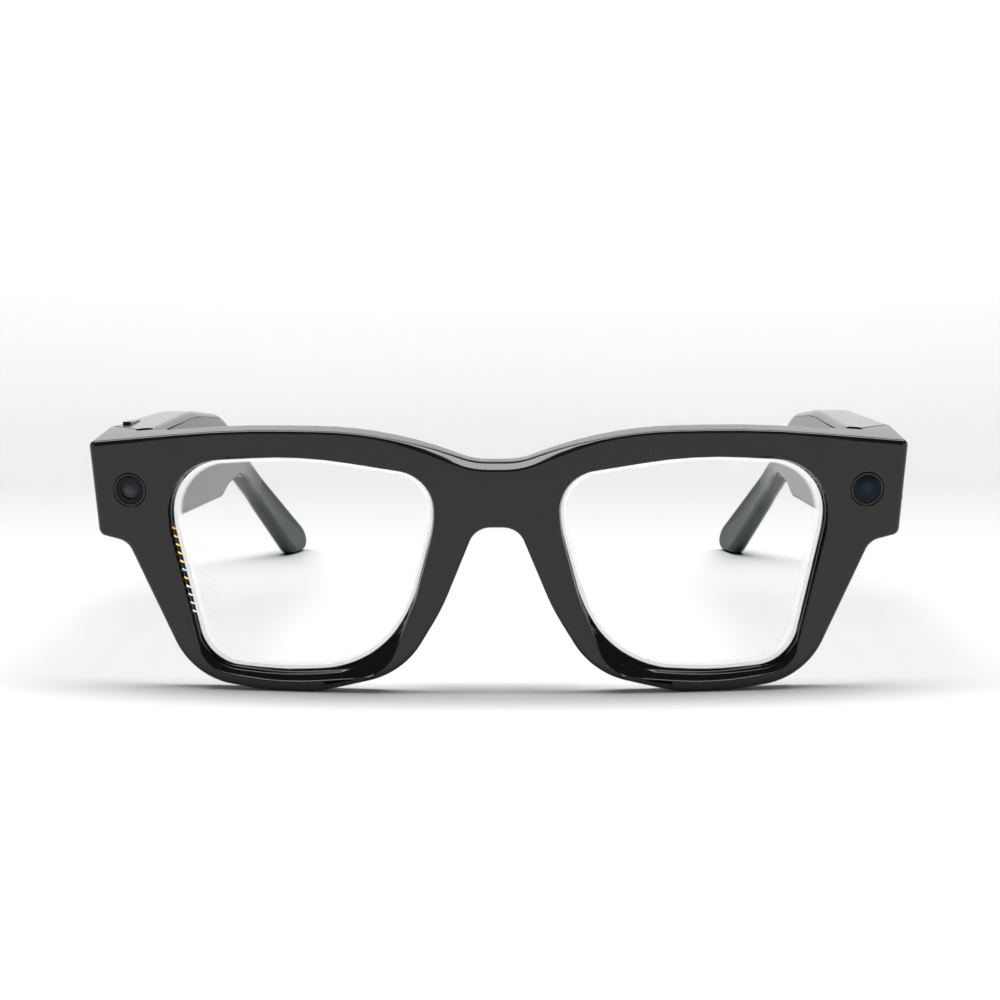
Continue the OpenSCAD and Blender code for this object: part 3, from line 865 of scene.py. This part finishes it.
def temple_front_cut(side):
    seam_n = Vector((-0.807, 0.591)) * SEAM
    beyond = SEAM_OUT + seam_n + 9 * (SEAM_OUT - SEAM_IN).normalized()
    plan = [
        (60, 0), (60, 20.5), (65.2, 20.5), (66.9, 20.4), (68.1, 19.3), tuple(SEAM_IN + seam_n),
        tuple(SEAM_OUT + seam_n), tuple(beyond), (95, 0),
    ]
    return prism([(side * x, y) for x, y in plan], -5, 75)


def housing(side):
    """The hollow behind the inner cover."""
    mesh = bmesh.new()
    points = rounded(HOUSING, 10)
    rings = [[Vector((depth, p.x, p.y)) for p in points] for depth in (WALL, FAR - COVER_T)]
    near, far = loft(mesh, rings)
    cap(mesh, near, (1, 0, 0), 1, 6, (30, 90))
    cap(mesh, far, (1, 0, 0), 1, 6, (30, 90))
    return placed(mesh, temple_place(side))


def temple_piece(name, side):
    mesh = bmesh.new()
    near, far = loft(mesh, temple_rings())
    cap(mesh, near, (1, 0, 0), 1, 3, (16, 159))
    cap(mesh, far, (1, 0, 0), 1, 3, (16, 159))
    placed(mesh, temple_place(side))
    tools = [temple_front_cut(side), housing(side), pocket(f"temple_cover_{name}", COVER_GAP)]
    tools += [pocket(f"temple_leaf_{name}", GAP), pocket(f"speaker_grille_{name}", GAP)]
    if side == RIGHT:
        tools.append(pocket("capture_button", BUTTON_GAP))
    left = cut_away(mesh, tools)
    soften(left, 0.16, 40)
    return left


# ---- Make the pieces ----
black = acetate("polished black acetate", (0.0045, 0.0045, 0.005, 1))
# The temples are black; the green in this shade is a painted cast, the tint that the coated lenses lay
# over them.
temple_black_painted_green_cast = acetate("polished black-green acetate", (0.0035, 0.0085, 0.0055, 1), 0.10, 0.06)
cover_black = acetate("polished black covers", (0.006, 0.006, 0.0065, 1), 0.10, 0.06)

front = piece("front_shell", front_piece(), "front", black, ["front_frame"])
smooth(front, 50)
for name, side in SIDES.items():
    temple = piece(
        f"temple_{name}_shell", temple_piece(name, side), f"temple_{name}", temple_black_painted_green_cast,
        [f"temple_shell_{name}"],
    )
    smooth(temple)
    rim = piece(
        f"lens_{name}_ground_edge", lens_rim(side), "front", lens_edge_painted_glow(f"lens edge {name}")
    )
    smooth(rim, 60)
guide = coated_glass("display guide", 0.998, 1.06, (0.8, 0.9, 1.0, 1))
piece("display_guide_block", guide_block(), "front", guide, ["display_waveguide"])
piece("reflector_glints", edge_glints(), "front", glint("reflector light"))

# ---- Finishes of the carried-over parts ----
clear = coated_glass("coated lens")
steel = metal("brushed hinge steel", (0.55, 0.55, 0.56, 1), 0.24)
screw = metal("machined screw steel", (0.66, 0.66, 0.67, 1), 0.18, (1, 1, 0.05))
tin = metal("tinned can", (0.68, 0.69, 0.70, 1), 0.3)
stamped = metal("stamped switch metal", (0.62, 0.62, 0.63, 1), 0.26)
gold = metal("gold plate", (0.85, 0.60, 0.25, 1), 0.16)
polymer = satin("satin black polymer", (0.014, 0.014, 0.015, 1))
pad = satin("soft nose pad", (0.010, 0.010, 0.011, 1), 0.36, 0.15)
gloss_trim = acetate("gloss trim", (0.008, 0.008, 0.009, 1), 0.10, 0.04)
board = circuit_board("circuit board")
flex = film("polyimide film", (0.50, 0.24, 0.05, 1), (0.62, 0.34, 0.12, 1))
speaker = satin("speaker moulding", (0.03, 0.03, 0.033, 1), 0.5)
mesh_black = satin("painted grille", (0.03, 0.03, 0.032, 1), 0.38, 0.4)

FINISHES = {
    "lens_right": clear, "lens_left": clear, "waveguide_mirrors": mirror_film("reflector film"),
    "brow_cover": polymer, "brow_flex": flex, "bridge_microphone": tin, "charging_contacts": gold,
    "display_projector": polymer, "light_bezel": gloss_trim, "camera_bezel": gloss_trim,
    "light_board": board, "camera_sensor": board, "main_board": board, "power_board": board,
    "camera_barrel": polymer, "notification_light": frosted("light pipe"),
    "front_leaf_screws": screw, "hinge_screws": screw,
    "board_shield": tin, "touch_sensor": flex, "antenna": flex, "capture_button": gloss_trim,
    "button_switch": stamped, "power_switch": polymer, "switch_base": stamped,
}
PAIRED = {
    "nose_pad": pad, "badge": gloss_trim, "front_leaf": steel, "temple_leaf": steel,
    "temple_leaf_screws": screw, "temple_cover": cover_black, "speaker": speaker,
    "speaker_grille": mesh_black, "battery": foil("battery foil"), "temple_microphone": tin,
}
for name, finish in PAIRED.items():
    FINISHES.update({f"{name}_{side}": finish for side in SIDES})
# Dark glass: its finish's name, its shade, its side, the shade of its middle, and that middle's radius
WINDOWS = {
    "light_window": ("smoked ring", (0.012, 0.012, 0.015, 1), RIGHT, (0.02, 0.02, 0.024, 1), 3),
    "light_lens": ("smoked dome", (0.035, 0.034, 0.04, 1), RIGHT, (0.075, 0.075, 0.085, 1), 2.2),
    "camera_window": ("camera glass", (0.008, 0.014, 0.02, 1), LEFT, (0.02, 0.034, 0.05, 1), 1.6),
    "camera_lens": ("camera lens", (0.02, 0.03, 0.05, 1), LEFT, (0.05, 0.08, 0.12, 1), 4),
}
for name, (label, shade, side, glow, radius) in WINDOWS.items():
    FINISHES[name] = dark_window(label, shade, window_centre(side), glow, radius)

UNBEVELLED = {"lens_right", "lens_left", "waveguide_mirrors", "temple_cover_right", "temple_cover_left"}
for name, finish in FINISHES.items():
    part = nodes[name]
    part.data.materials.clear()
    part.data.materials.append(finish)
    part.data.shade_smooth()
    weld = part.modifiers.new("weld", "WELD")
    weld.merge_threshold = 1e-6
    if name not in UNBEVELLED:
        ease = part.modifiers.new("ease", "BEVEL")
        ease.width, ease.segments, ease.limit_method = 0.07 * MM, 2, "ANGLE"
        ease.angle_limit = math.radians(35)
    split = part.modifiers.new("split", "EDGE_SPLIT")
    split.split_angle = math.radians(40)


# ---- Studio ----
def studio():
    """A white table that sweeps up into a low white backdrop."""
    mesh = bmesh.new()
    angles = [math.pi / 2 * k / COVE_STEPS for k in range(COVE_STEPS + 1)]
    bend = [(COVE_Y + COVE_R * math.sin(a), COVE_R - COVE_R * math.cos(a)) for a in angles]
    profile = [(-TABLE_HALF, 0), *bend, (COVE_Y + COVE_R, COVE_Z)]
    verts = [mesh.verts.new((-TABLE_HALF, y, z)) for y, z in profile]
    edges = [mesh.edges.new(pair) for pair in zip(verts, verts[1:])]
    grown = bmesh.ops.extrude_edge_only(mesh, edges=edges)
    risen = of_kind(grown, bmesh.types.BMVert)
    bmesh.ops.translate(mesh, vec=(2 * TABLE_HALF, 0, 0), verts=risen)
    bmesh.ops.recalc_face_normals(mesh, faces=mesh.faces)
    sweep = blank(mesh, "table")
    sweep.data.materials.append(table_top("white paper"))
    sweep.data.shade_smooth()


def area_light(name, place, target, size, power):
    lamp = bpy.data.lights.new(name, "AREA")
    lamp.shape, lamp.size, lamp.size_y, lamp.energy = "RECTANGLE", size[0], size[1], power
    made = bpy.data.objects.new(name, lamp)
    made.location = place
    made.rotation_euler = (Vector(target) - Vector(place)).to_track_quat("-Z", "Y").to_euler()
    bpy.context.scene.collection.objects.link(made)


def camera():
    lens = bpy.data.cameras.new("camera")
    lens.lens, lens.sensor_width = FOCAL, SENSOR
    made = bpy.data.objects.new("camera", lens)
    spin = Matrix.Rotation(-YAW, 4, "Z") @ Matrix.Rotation(math.pi / 2 - PITCH, 4, "X")
    spin = spin @ Matrix.Rotation(ROLL, 4, "Z")
    made.matrix_world = Matrix.Translation((CAMERA_X, BRIDGE_Y - CAMERA_FRONT, CAMERA_Z)) @ spin
    bpy.context.scene.collection.objects.link(made)
    bpy.context.scene.camera = made


studio()
below = (0, BRIDGE_Y + LIGHT_Y, 0)
area_light("overhead softbox", (0, BRIDGE_Y + LIGHT_Y, LIGHT_Z), below, LIGHT_SIZE, LIGHT_POWER)
camera()
world = bpy.data.worlds.new("dim room")
world.use_nodes = True
world.node_tree.nodes["Background"].inputs["Color"].default_value = grey(ROOM)
bpy.context.scene.world = world
bpy.context.scene.view_settings.view_transform = "Standard"
